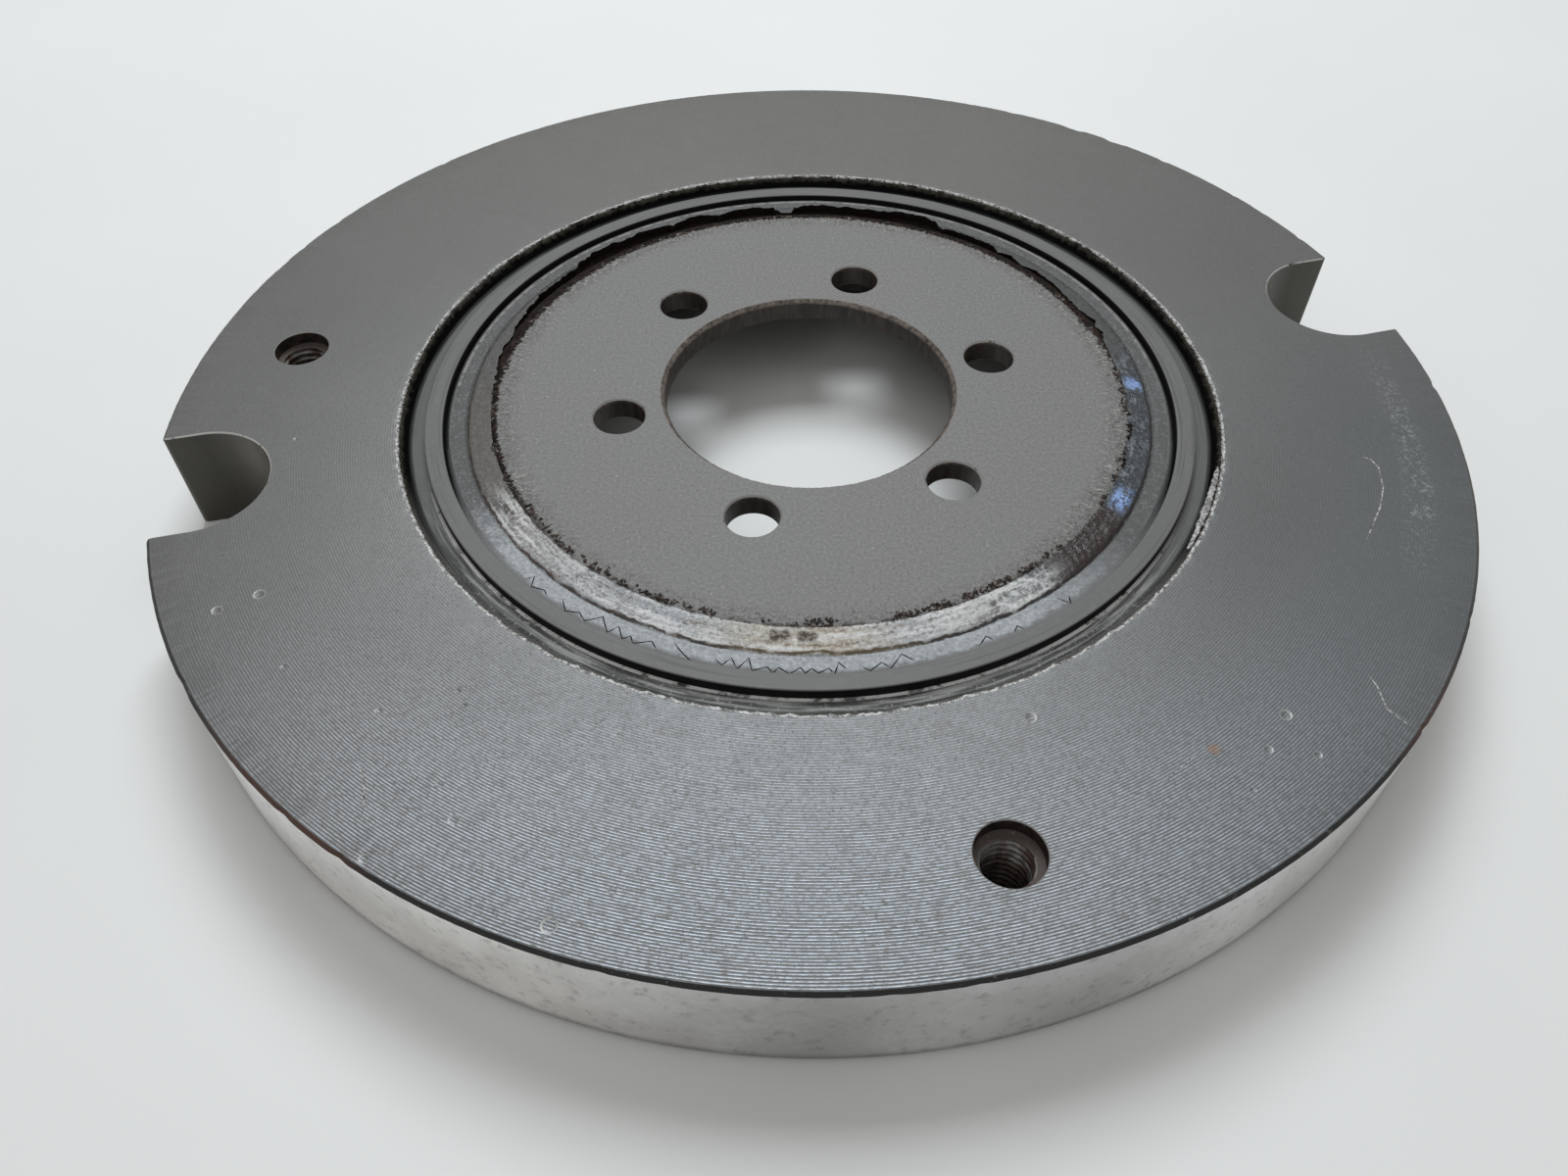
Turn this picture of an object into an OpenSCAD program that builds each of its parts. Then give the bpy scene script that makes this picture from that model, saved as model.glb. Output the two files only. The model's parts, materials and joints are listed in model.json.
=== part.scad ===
// Rubber torsional vibration damper for an engine crankshaft.
// Z runs along the crankshaft axis, with the rear face of the inertia ring at z = 0.
// The pressed hub cup bolts to the crankshaft nose from behind, and the rubber carries the ring.

/* [Inertia ring] */
// Outer diameter of the ring
ring_d = 210; // [206:1:240]
// Thickness of the ring, from its rear face to its front face
ring_h = 19; // [17:0.5:24]
// Chamfer on the outer edges of the ring
ring_chamfer = 0.5; // [0.2:0.1:1.5]
// Depth of the recess round the sleeve, in the front face
recess_depth = 2; // [1:0.25:4]
// Width of the flat floor of the recess
recess_floor_w = 2.5; // [1:0.25:4]
// Width of the sloping wall of the recess
recess_slope_w = 1.7; // [0.5:0.1:3]
// Lead-in chamfer of the ring's bore, at the rear
bore_lead_in = 1; // [0.3:0.1:2]

/* [Rim notches] */
// Width of each U-shaped notch, twice the radius of its round end
notch_w = 22.5; // [10:0.5:26]
// Distance from the axis to the centre of the notch's round end
notch_centre_r = 98.25; // [95:0.25:101]
// Direction of the first notch
notch_1_angle = 16; // [0:0.5:60]
// Direction of the second notch
notch_2_angle = 194.75; // [190:0.25:240]

/* [Tapped holes] */
// Minor diameter of the M8 x 1.25 thread, which is the drilled wall
tap_d = 6.65; // [5:0.05:8]
// Diameter of the counterbore over the thread
tap_mouth_d = 9.1; // [8.2:0.1:12]
// Depth of the counterbore
tap_mouth_depth = 2.2; // [0.5:0.1:5]
// Distance of the first tapped hole from the axis
tap_1_r = 90.5; // [86:0.5:93]
// Direction of the first tapped hole
tap_1_angle = -74; // [-120:0.5:-30]
// Distance of the second tapped hole from the axis
tap_2_r = 88.5; // [86:0.5:93]
// Direction of the second tapped hole
tap_2_angle = 174.5; // [100:0.5:175]

/* [Outer sleeve] */
// Outer diameter of the sleeve, pressed into the ring's bore
sleeve_d = 126.6; // [126:0.1:130]
// Wall thickness of the sleeve
sleeve_wall = 2.9; // [1.5:0.1:3]
// How far the sleeve's front edge sits below the ring's front face
sleeve_front_drop = 0.2; // [0:0.1:0.9]
// Height of the sleeve's rear edge
sleeve_rear_z = 1; // [0:0.25:3]
// Chamfer on the sleeve's edges
sleeve_chamfer = 0.35; // [0.1:0.05:0.6]

/* [Rubber element] */
// Depth of the rubber's front surface below the hub's face
rubber_front_drop = 1; // [0.95:0.05:1.5]
// Height of the rubber's rear surface
rubber_rear_z = 3; // [2:0.25:6]
// Height that the rubber climbs where it meets the sleeve
rubber_climb = 0.4; // [0.1:0.05:0.5]
// How far the flash reaches inward over the hub's bend, from the skirt
flash_w = 3.8; // [2:0.1:4]
// Clearance left at the bonded face, on the sleeve's side
bond_gap = 0.05; // [0.02:0.01:0.1]

/* [Hub cup] */
// Thickness of the pressed steel
hub_t = 4; // [3:0.25:4.5]
// Outer diameter of the hub's skirt
skirt_d = 112.8; // [110:0.2:114]
// Outside radius of the bend between the face and the skirt
hub_bend_r = 5; // [5:0.25:6]
// Height of the skirt's rear edge
skirt_rear_z = 2; // [1:0.25:5]
// Diameter of the pilot bore
bore_d = 48; // [30:0.5:50]
// Chamfer at the front of the pilot bore
bore_chamfer = 0.6; // [0.2:0.1:1]
// Diameter of the circle that the bolt holes lie on
bolt_pcd = 64; // [62:0.5:80]
// Number of bolt holes
bolt_count = 6; // [3:1:8]
// Diameter of each bolt hole
bolt_hole_d = 8.5; // [5:0.5:9]
// Direction of the first bolt hole
bolt_first_angle = 15.25; // [0:0.25:60]

/* [Hidden] */
$fn = 96;
// Length that a cutter runs past each face
cut = 1;
ring_r = ring_d / 2;
sleeve_r = sleeve_d / 2;
sleeve_ri = sleeve_r - sleeve_wall;
sleeve_front_z = ring_h - sleeve_front_drop;
recess_r = sleeve_r + recess_floor_w;
recess_mouth_r = recess_r + recess_slope_w;
skirt_r = skirt_d / 2;
hub_rear_z = ring_h - hub_t;
// Centre of the hub's bend, seen in section
bend_x = skirt_r - hub_bend_r;
bend_z = ring_h - hub_bend_r;
rubber_front_z = ring_h - rubber_front_drop;
rubber_r = sleeve_ri - bond_gap;
// The crease is where the flash meets the rubber's flat front surface
crease_r = skirt_r + 0.3;
flash_r = skirt_r - flash_w;

// A solid turned from the points of its half section, given as [radius, height]
module turned(points) {
    rotate_extrude() polygon(points);
}

module at_polar(radius, angle) {
    rotate([0, 0, angle]) translate([radius, 0, 0]) children();
}

// Tool that cuts a U-shaped notch, open to the rim
module notch_cutter() {
    length = ring_r - notch_centre_r + notch_w;
    translate([0, 0, -cut]) {
        cylinder(h = ring_h + 2 * cut, d = notch_w);
        translate([0, -notch_w / 2, 0]) cube([length, notch_w, ring_h + 2 * cut]);
    }
}

// Tool that drills one tapped hole through the ring, with its counterbore
module tap_cutter() {
    translate([0, 0, -cut]) cylinder(h = ring_h + 2 * cut, d = tap_d);
    translate([0, 0, ring_h - tap_mouth_depth]) cylinder(h = tap_mouth_depth + cut, d = tap_mouth_d);
}

module ring_blank() {
    turned([
        [sleeve_r, bore_lead_in],
        [sleeve_r + bore_lead_in, 0],
        [ring_r - ring_chamfer, 0],
        [ring_r, ring_chamfer],
        [ring_r, ring_h - ring_chamfer],
        [ring_r - ring_chamfer, ring_h],
        [recess_mouth_r, ring_h],
        [recess_r, ring_h - recess_depth],
        [sleeve_r, ring_h - recess_depth],
    ]);
}

module inertia_ring() {
    color("dimgray") difference() {
        ring_blank();
        for (angle = [notch_1_angle, notch_2_angle]) at_polar(notch_centre_r, angle) notch_cutter();
        at_polar(tap_1_r, tap_1_angle) tap_cutter();
        at_polar(tap_2_r, tap_2_angle) tap_cutter();
    }
}

module outer_sleeve() {
    color("gray") turned([
        [sleeve_ri, sleeve_rear_z + sleeve_chamfer],
        [sleeve_ri + sleeve_chamfer, sleeve_rear_z],
        [sleeve_r - sleeve_chamfer, sleeve_rear_z],
        [sleeve_r, sleeve_rear_z + sleeve_chamfer],
        [sleeve_r, sleeve_front_z - sleeve_chamfer],
        [sleeve_r - sleeve_chamfer, sleeve_front_z],
        [sleeve_ri + sleeve_chamfer, sleeve_front_z],
        [sleeve_ri, sleeve_front_z - sleeve_chamfer],
    ]);
}

// Half section of the pressed cup: face, bend and skirt, with no holes
module hub_section() {
    translate([0, hub_rear_z]) square([bend_x, hub_t]);
    translate([skirt_r - hub_t, skirt_rear_z]) square([hub_t, bend_z - skirt_rear_z]);
    translate([bend_x, bend_z]) intersection() {
        square(hub_bend_r);
        difference() {
            circle(hub_bend_r);
            circle(hub_bend_r - hub_t);
        }
    }
}

// Half section of the bend's full outside round, which shapes the underside of the flash
module bend_round() {
    translate([bend_x, bend_z]) circle(hub_bend_r);
}

module rubber_element() {
    color("black") rotate_extrude() difference() {
        polygon([
            [skirt_r, rubber_rear_z],
            [rubber_r, rubber_rear_z],
            [rubber_r, rubber_front_z + rubber_climb],
            [rubber_r - rubber_climb, rubber_front_z],
            [crease_r, rubber_front_z],
            [flash_r, ring_h],
            [flash_r, bend_z],
            [skirt_r, bend_z],
        ]);
        bend_round();
    }
}

module hub_cup() {
    color("slategray") difference() {
        rotate_extrude() hub_section();
        translate([0, 0, hub_rear_z - cut]) cylinder(h = hub_t + 2 * cut, d = bore_d);
        translate([0, 0, ring_h - bore_chamfer])
            cylinder(h = bore_chamfer + cut, d1 = bore_d, d2 = bore_d + 2 * (bore_chamfer + cut));
        for (i = [0 : bolt_count - 1])
            at_polar(bolt_pcd / 2, bolt_first_angle + i * 360 / bolt_count)
                translate([0, 0, hub_rear_z - cut]) cylinder(h = hub_t + 2 * cut, d = bolt_hole_d);
    }
}

inertia_ring();
outer_sleeve();
rubber_element();
hub_cup();
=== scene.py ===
# Looks of the crankshaft torsional vibration damper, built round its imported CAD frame.
# Lengths in this script are millimetres, heights are above the ring's rear face, and directions
# are degrees from +X, anticlockwise from the front. solid() turns millimetres into metres.
import json
import math

import bpy
import numpy as np
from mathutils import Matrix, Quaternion, Vector


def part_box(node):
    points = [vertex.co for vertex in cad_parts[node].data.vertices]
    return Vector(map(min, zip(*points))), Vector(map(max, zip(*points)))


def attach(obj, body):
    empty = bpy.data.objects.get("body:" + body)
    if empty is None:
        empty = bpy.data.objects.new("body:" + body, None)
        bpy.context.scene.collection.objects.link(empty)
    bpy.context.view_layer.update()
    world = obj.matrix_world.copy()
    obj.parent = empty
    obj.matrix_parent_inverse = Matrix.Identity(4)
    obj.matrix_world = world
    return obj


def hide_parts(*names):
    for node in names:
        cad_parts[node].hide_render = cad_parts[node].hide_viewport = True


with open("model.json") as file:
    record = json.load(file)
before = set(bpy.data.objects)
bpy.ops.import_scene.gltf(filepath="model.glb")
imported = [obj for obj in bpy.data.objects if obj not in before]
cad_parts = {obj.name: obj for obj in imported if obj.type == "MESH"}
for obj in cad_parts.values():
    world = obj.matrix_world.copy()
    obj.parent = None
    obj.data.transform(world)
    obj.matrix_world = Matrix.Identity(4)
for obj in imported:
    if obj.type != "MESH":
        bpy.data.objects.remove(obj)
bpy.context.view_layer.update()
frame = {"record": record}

MM = 0.001
UNDER = 1.0  # how far a cutting tool runs past a face

# Sizes read from the CAD frame
ring_lo, ring_hi = (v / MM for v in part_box("inertia_ring"))
sleeve_lo, sleeve_hi = (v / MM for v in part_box("outer_sleeve"))
rubber_lo, rubber_hi = (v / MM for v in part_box("rubber_element"))
hub_lo, hub_hi = (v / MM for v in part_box("hub_cup"))
mounts = {m["name"]: m for m in frame["record"]["mounts"]}
RING_R, RING_H = -ring_lo.x, ring_hi.z
SLEEVE_R, SLEEVE_TOP, SLEEVE_REAR = sleeve_hi.x, sleeve_hi.z, sleeve_lo.z
RUBBER_R, RUBBER_REAR = rubber_hi.x, rubber_lo.z
SKIRT_R, SKIRT_REAR = hub_hi.x, hub_lo.z
BORE_R = mounts["pilot_bore"]["dims"]["r_mm"]
BOLTS = mounts["bolt_circle"]["dims"]

# Sizes that the frame does not give, as in the CAD source
BORE_LEAD_IN = 1.0
RIM_CHAMFER = 0.5
RECESS_DEPTH, RECESS_FLOOR_W, RECESS_SLOPE_W = 2.0, 2.5, 1.7
NOTCH_R, NOTCH_CENTRE_R = 11.25, 98.25
NOTCH_ANGLES = (16.0, 194.75)
TAP_MOUTH_R, TAP_MOUTH_DEPTH = 4.55, 2.2
THREAD_MAJOR_R, THREAD_PITCH = 4.0, 1.25
SLEEVE_WALL = 2.9
HUB_T, BEND_R = 4.0, 5.0
BOLT_FIRST_ANGLE = 15.25
RUBBER_FRONT = 18.0
CREASE_R, FLASH_R = 56.7, 52.6
MOUTH_R = SLEEVE_R + RECESS_FLOOR_W + RECESS_SLOPE_W
RECESS_Z = RING_H - RECESS_DEPTH
TURNING_PITCH = 0.41

# ---------------------------------------------------------------- camera


def aimed(thing, eye, aim, roll=0.0):
    """Puts a new camera or light at eye, turned towards aim, and returns it; places in metres."""
    placed = bpy.data.objects.new(thing.name, thing)
    placed.location = eye
    placed.rotation_mode = "QUATERNION"
    turn = Quaternion((0, 0, 1), math.radians(roll))
    placed.rotation_quaternion = (Vector(aim) - Vector(eye)).to_track_quat("-Z", "Y") @ turn
    bpy.context.scene.collection.objects.link(placed)
    return placed


def place_camera():
    """The photograph's view: its position, the point it aims at on the front face, and its roll."""
    eye, aim, roll = Vector((0.0, -158.25, 146.73)), Vector((-3.06, -45.39, 19.0)), -0.283
    data = bpy.data.cameras.new("camera")
    data.lens, data.sensor_width = 27.46, 36.0
    bpy.context.scene.camera = aimed(data, eye * MM, aim * MM, roll)


place_camera()

# ---------------------------------------------------------------- materials


class Look:
    """One procedural material, built with short calls, in millimetres. Layers go over its colour."""

    def __init__(self, name, rough=0.5, metal=0.0, specular=0.5):
        self.material = bpy.data.materials.new(name)
        self.material.use_nodes = True
        self.tree = self.material.node_tree
        self.shader = self.tree.nodes["Principled BSDF"]
        self.shader.inputs["Roughness"].default_value = rough
        self.shader.inputs["Metallic"].default_value = metal
        self.shader.inputs["Specular IOR Level"].default_value = specular
        own = self.add("ShaderNodeTexCoord").outputs["Object"]
        self.place = self.vector("SCALE", own, scale=1 / MM)
        self.flat = self.vector("MULTIPLY", self.place, (1, 1, 0))
        self.radius = self.add("ShaderNodeVectorMath", {0: self.flat}, operation="LENGTH").outputs["Value"]
        x, y, self.height = self.add("ShaderNodeSeparateXYZ", {0: self.place}).outputs
        self.angle = self.times(self.math("ARCTAN2", y, x), math.degrees(1))

    def add(self, kind, inputs=(), **settings):
        node = self.tree.nodes.new(kind)
        for key, value in settings.items():
            setattr(node, key, value)
        for key in inputs:
            self.put(node.inputs[key], inputs[key])
        return node

    def put(self, socket, value):
        if isinstance(value, bpy.types.NodeSocket):
            self.tree.links.new(value, socket)
        elif isinstance(value, tuple) and socket.type == "RGBA":
            socket.default_value = (*value, 1.0)
        else:
            socket.default_value = value

    def math(self, operation, a, b=0.0, clamp=False):
        node = self.add("ShaderNodeMath", {0: a, 1: b}, operation=operation, use_clamp=clamp)
        return node.outputs[0]

    def times(self, a, b):
        return self.math("MULTIPLY", a, b)

    def plus(self, a, b):
        return self.math("ADD", a, b)

    def minus(self, a, b):
        return self.math("SUBTRACT", a, b)

    def vector(self, operation, a, b=(0, 0, 0), scale=1.0):
        node = self.add("ShaderNodeVectorMath", {0: a, 1: b, 3: scale}, operation=operation)
        return node.outputs[0]

    def noise(self, per_mm, detail=3.0, rough=0.55, at=None):
        """Noise in 0..1 with per_mm features to the millimetre."""
        node = self.add("ShaderNodeTexNoise", {
            "Vector": at or self.place, "Scale": per_mm, "Detail": detail, "Roughness": rough})
        return node.outputs[0]

    def streaks(self, across, along, detail=2.0):
        """Noise drawn out round the axis, with across features to the mm and along to the turn."""
        way = self.vector("NORMALIZE", self.flat)
        rise = self.add("ShaderNodeCombineXYZ", {
            2: self.times(self.plus(self.radius, self.height), across)}).outputs[0]
        at = self.vector("ADD", self.vector("SCALE", way, scale=along), rise)
        return self.noise(1.0, detail, at=at)

    def rays(self, per_degree, per_mm, detail=3.0):
        """Noise drawn out away from the axis, like fine hairs."""
        at = self.add("ShaderNodeCombineXYZ", {
            0: self.times(self.angle, per_degree), 1: self.times(self.radius, per_mm)})
        return self.noise(1.0, detail, at=at.outputs[0])

    def step(self, value, lo, hi, low=0.0, high=1.0):
        """Eases from low to high while value goes from lo to hi, where lo may be the larger one."""
        if lo > hi:
            lo, hi, low, high = hi, lo, high, low
        node = self.add("ShaderNodeMapRange", {
            "Value": value, "From Min": lo, "From Max": hi, "To Min": low, "To Max": high},
            interpolation_type="SMOOTHSTEP")
        return node.outputs[0]

    def both(self, a, b):
        return self.math("MULTIPLY", a, b, clamp=True)

    def band(self, value, lo, hi, soft):
        return self.both(self.step(value, lo - soft, lo + soft), self.step(value, hi + soft, hi - soft))

    def outward(self, lo, hi, *ends):
        """Eases from 0 to 1, or between two ends, as the distance from the axis goes lo to hi."""
        return self.step(self.radius, lo, hi, *ends)

    def sector(self, first, last, soft):
        """A mask of 1 between two directions."""
        return self.band(self.angle, first, last, soft)

    def hoop(self, inner, outer, soft):
        """A mask of 1 between two distances from the axis."""
        return self.band(self.radius, inner, outer, soft)

    def frayed(self, amount, *noise):
        """The distance from the axis, raised unevenly by up to amount, for a ragged border."""
        return self.plus(self.radius, self.times(self.noise(*noise), amount))

    def patches(self, lo, hi, *noise):
        """Uneven patches: 1 where the noise is above hi and 0 where it is below lo."""
        return self.step(self.noise(*noise), lo, hi)

    def spot(self, angle, radius, width):
        """A soft round mask on the front face."""
        x, y = polar(radius, angle)
        gap = self.add("ShaderNodeVectorMath", {0: self.flat, 1: (x, y, 0)}, operation="DISTANCE")
        ragged = self.plus(gap.outputs["Value"], self.noise(1.2, 3))
        return self.step(ragged, width + 0.5, width * 0.4 + 0.5)

    def mix(self, share, a, b):
        node = self.add("ShaderNodeMix", data_type="RGBA")
        for socket, value in zip((node.inputs[0], node.inputs[6], node.inputs[7]), (share, a, b)):
            self.put(socket, value)
        return node.outputs[2]

    def cover(self, mask, top):
        """Lays top over the colour so far, where mask is 1."""
        self.colour = self.mix(mask, self.colour, top)

    def over(self, mask, strength, top):
        """Lays top over the colour so far, where mask is 1, at that strength."""
        self.cover(self.both(mask, strength), top)

    def blend(self, share, a, b):
        node = self.add("ShaderNodeMix", {0: share, 2: a, 3: b}, data_type="FLOAT")
        return node.outputs[0]

    def round_ramp(self, stops, ragged=0.0):
        """A colour that changes round the axis: stops are (degrees, colour), from -180 to 180."""
        turn = self.angle
        if ragged:
            wander = self.minus(self.noise(0.9, 4, 0.7), 0.5)
            turn = self.plus(turn, self.times(wander, ragged))
        node = self.add("ShaderNodeValToRGB", {0: self.times(self.plus(turn, 180.0), 1 / 360)})
        elements = node.color_ramp.elements
        for i, (degrees, colour) in enumerate(stops):
            at = (degrees + 180) / 360
            element = elements[i] if i < 2 else elements.new(at)
            element.position, element.color = at, (*colour, 1.0)
        return node.outputs[0]

    def finish(self, rough=None, relief=None):
        """Connects the colour, roughness and relief in millimetres, and returns the material."""
        self.put(self.shader.inputs["Base Color"], self.colour)
        if rough is not None:
            self.put(self.shader.inputs["Roughness"], rough)
        if relief is not None:
            bump = self.add("ShaderNodeBump", {"Height": relief, "Distance": MM, "Strength": 1.0})
            self.put(self.shader.inputs["Normal"], bump.outputs[0])
        return self.material


def grey(value, warm=0.0):
    """A near-neutral colour; warm above 0 leans to brown and below 0 to blue."""
    return (value * (1 + warm), value, value * (1 - warm))


def polar(radius, angle):
    return radius * math.cos(math.radians(angle)), radius * math.sin(math.radians(angle))


def phosphate(look, fleck):
    """Lays the ring's grey phosphate, with painted shade and light: darker and cooler at the right, lighter
    and warmer at the far side, and dimmer towards the inner edge in front.
    """
    look.colour = look.mix(look.noise(0.035, 4), grey(0.113, 0.02), grey(0.148, 0.045))
    look.over(look.step(fleck, 0.35, 0.75), 0.45, grey(0.17))
    # painted shade: the right of the face darker and cooler than the rest
    right_shade = look.both(look.sector(-62, 8, 16), look.outward(72.0, 92.0, 0.35, 1.0))
    look.over(right_shade, 0.5, (0.093, 0.108, 0.118))
    # painted light: the far side lighter and warmer
    look.over(look.sector(45, 150, 30), 0.5, (0.162, 0.155, 0.140))
    # painted shade: the front sector darker towards the inner edge
    front_inner_shade = look.both(look.sector(-140, -12, 14), look.outward(92.0, 72.0))
    look.over(front_inner_shade, 0.32, grey(0.05))


def turned_iron():
    """The ring's turned front and rear faces: grey phosphate over fine concentric tool marks, with painted
    bluish glints on the crests and painted shade in the troughs, strongest in the front sector towards the
    rim.
    """
    look = Look("turned_iron", metal=0.35)
    look.shader.inputs["Anisotropic"].default_value = 0.5
    tangent = look.add("ShaderNodeTangent", direction_type="RADIAL", axis="Z")
    look.put(look.shader.inputs["Tangent"], tangent.outputs[0])
    # the mask below marks where painted glints fall: the front sector, strongest towards the rim
    wear_and_sheen = look.sector(-126, -56, 32)
    wear_and_sheen = look.both(wear_and_sheen, look.outward(68.0, 99.0, 0.22, 1.0))
    fleck = look.noise(1.7, 4, 0.7)
    phosphate(look, fleck)
    wander = look.times(look.noise(0.25, 2), 1.2)
    phase = look.plus(look.times(look.radius, math.tau / TURNING_PITCH), wander)
    marks = look.math("SINE", phase)
    crest = look.both(look.step(marks, 0.0, 1.0), look.step(look.streaks(1.8, 110.0, 4.0), 0.24, 0.66))
    # painted highlight: pale bluish glints laid on the crests of the tool marks
    shine = look.both(crest, look.blend(wear_and_sheen, 0.05, 0.95))
    look.cover(shine, (0.47, 0.53, 0.61))
    # painted shade: the troughs of the tool marks darkened, most where the glints are
    groove = look.both(look.step(marks, -0.3, -1.0), look.blend(wear_and_sheen, 0.04, 0.4))
    look.cover(groove, grey(0.07))
    pit = look.patches(0.70, 0.78, 0.8, 3, 0.8)
    look.over(pit, 0.5, grey(0.05))
    grit = look.patches(0.60, 0.67, 2.0, 3, 0.9)
    grit = look.both(grit, look.step(look.noise(0.10, 3), 0.38, 0.58, 0.25, 1.0))
    look.over(grit, 0.6, grey(0.42, 0.01))
    scuff = look.both(look.sector(-22, 4, 7), look.hoop(94.5, 98.5, 1.2))
    scuff = look.both(scuff, look.patches(0.53, 0.61, 1.3, 5, 0.9))
    look.over(scuff, 0.6, grey(0.40, -0.03))
    look.over(look.spot(-53.9, 88.7, 1.1), 0.5, (0.23, 0.11, 0.05))
    rough = look.blend(look.noise(0.5, 3), 0.36, 0.52)
    relief = look.times(marks, look.blend(wear_and_sheen, 0.002, 0.016))
    relief = look.plus(relief, look.times(fleck, 0.02))
    relief = look.plus(relief, look.times(grit, 0.05))
    relief = look.minus(relief, look.times(pit, 0.04))
    return look.finish(rough, relief)


def rim_iron():
    """The rim: finely turned, painted paler than the faces and unevenly bright round the front as painted
    reflection of the pale floor, with a painted shadow at its foot.
    """
    look = Look("rim_iron", metal=0.6)
    # painted reflection: the rim's tone round the axis copies the floor and lamps it reflects, brightest at
    # the front left
    wear_and_sheen = look.round_ramp([(-180, grey(0.6)), (-118, grey(0.94, 0.02)), (-108, grey(0.93, 0.02)),
                            (-97, grey(0.68, 0.01)), (-89, grey(0.48)), (-80, grey(0.67)),
                            (-70, grey(0.57)), (-60, grey(0.85)), (-40, grey(0.70, 0.02)),
                            (60, grey(0.45, 0.03)), (180, grey(0.55))], ragged=10.0)
    smear = look.noise(0.07, 3, 0.6)
    look.colour = look.mix(look.both(look.step(smear, 0.7, 0.3), 0.3), wear_and_sheen, grey(0.3, 0.04))
    dirt = look.patches(0.52, 0.72, 0.5, 4, 0.7)
    look.over(dirt, 0.4, grey(0.12, 0.12))
    # painted shadow: the rim darkened towards its bottom, where it meets the floor
    shaded_foot = look.step(look.height, 2.2, 0.3)
    look.over(shaded_foot, look.noise(0.4, 3), grey(0.06, 0.1))
    lines = look.streaks(7.0, 4.0)
    look.over(look.step(lines, 0.55, 0.8), 0.3, grey(0.8))
    rough = look.blend(look.noise(0.6, 2), 0.32, 0.5)
    return look.finish(rough, look.times(lines, 0.012))


def edge_oxide():
    """The rim's chamfers: dark oxide, with brown rust where the edge was knocked."""
    look = Look("edge_oxide", rough=0.6, metal=0.3)
    rust = look.round_ramp([(-180, grey(0.03)), (-140, grey(0.03)), (-133, (0.075, 0.042, 0.032)),
                            (-124, (0.085, 0.04, 0.028)), (-118, grey(0.02)), (-45, grey(0.02)),
                            (-40, (0.075, 0.04, 0.032)), (-30, grey(0.04)), (0, (0.10, 0.075, 0.05)),
                            (20, grey(0.06)), (180, grey(0.03))], ragged=6.0)
    bare = look.patches(0.6, 0.72, 1.1, 4, 0.75)
    look.colour = look.mix(look.both(bare, 0.7), rust, grey(0.22, 0.06))
    return look.finish(relief=look.times(look.noise(1.5, 3), 0.08))


def bare_edge():
    """Worn metal on the burr and in scratches: pale in bits, dull and dirty between them."""
    look = Look("bare_edge", rough=0.55, metal=0.15, specular=0.3)
    bits = look.patches(0.42, 0.58, 1.5, 5, 0.85)
    look.colour = look.mix(bits, grey(0.09, 0.05), grey(0.52, 0.02))
    return look.finish(relief=look.times(look.noise(2.2, 3), 0.08))


def worn_lip(name, shade):
    """The broken edges of holes and notches: an even pale line with a few dark gaps."""
    look = Look(name, rough=0.45, metal=0.3)
    gaps = look.patches(0.56, 0.66, 0.5, 4, 0.7)
    look.colour = look.mix(gaps, grey(shade, 0.03), grey(0.09, 0.05))
    return look.finish()


def recess_iron():
    """The recess round the sleeve: a slope painted near black as shade, streaked in front, and a painted
    floor, dirty and streaked in front, with painted shade in its outer corner and a painted highlight line
    by the sleeve in front.
    """
    look = Look("recess_iron", rough=0.55, specular=0.18)
    streak = look.step(look.streaks(1.9, 7.0, 5.0), 0.38, 0.62)
    near = look.sector(-150, -36, 12)
    # painted shade: the slope near black all round, lighter and streaked only in the front sector
    slope = look.mix(look.both(near, look.blend(streak, 0.3, 0.9)), grey(0.002), grey(0.13, 0.03))
    upper = look.frayed(1.6, 0.9, 4, 0.75)
    upper = look.step(upper, MOUTH_R - 0.15, MOUTH_R + 0.65)
    dust = look.mix(look.noise(0.6, 3), (0.03, 0.026, 0.02), (0.11, 0.098, 0.08))
    slope = look.mix(look.both(upper, 0.85), slope, dust)
    dirty = look.mix(streak, grey(0.03, 0.05), grey(0.23, 0.02))
    floor = look.mix(near, grey(0.105, 0.02), dirty)
    shaded_foot = look.hoop(SLEEVE_R + RECESS_FLOOR_W - 0.25, SLEEVE_R + RECESS_FLOOR_W + 0.3, 0.1)
    on_floor = look.step(look.height, RECESS_Z + 0.35, RECESS_Z + 0.12)
    look.colour = look.mix(on_floor, slope, floor)
    # painted shade: the corner where the floor meets the slope darkened
    look.over(shaded_foot, look.blend(near, 0.9, 0.6), grey(0.008))
    crumb = look.both(look.patches(0.56, 0.63, 1.6, 5, 0.85), look.sector(-140, -40, 8))
    look.over(crumb, 0.6, grey(0.42, 0.03))
    # painted highlight: a pale line on the floor beside the sleeve, in front, where the sleeve wall blocks
    # the lamp
    shine = look.outward(SLEEVE_R + 0.6, SLEEVE_R + 0.45)
    shine = look.both(shine, look.patches(0.66, 0.5, 0.5, 4))
    look.over(shine, look.both(near, 0.9), grey(0.85))
    lit = look.math("MAXIMUM", near, on_floor)
    look.put(look.shader.inputs["Specular IOR Level"], look.blend(lit, 0.02, 0.25))
    return look.finish(relief=look.times(streak, 0.05))


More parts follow.
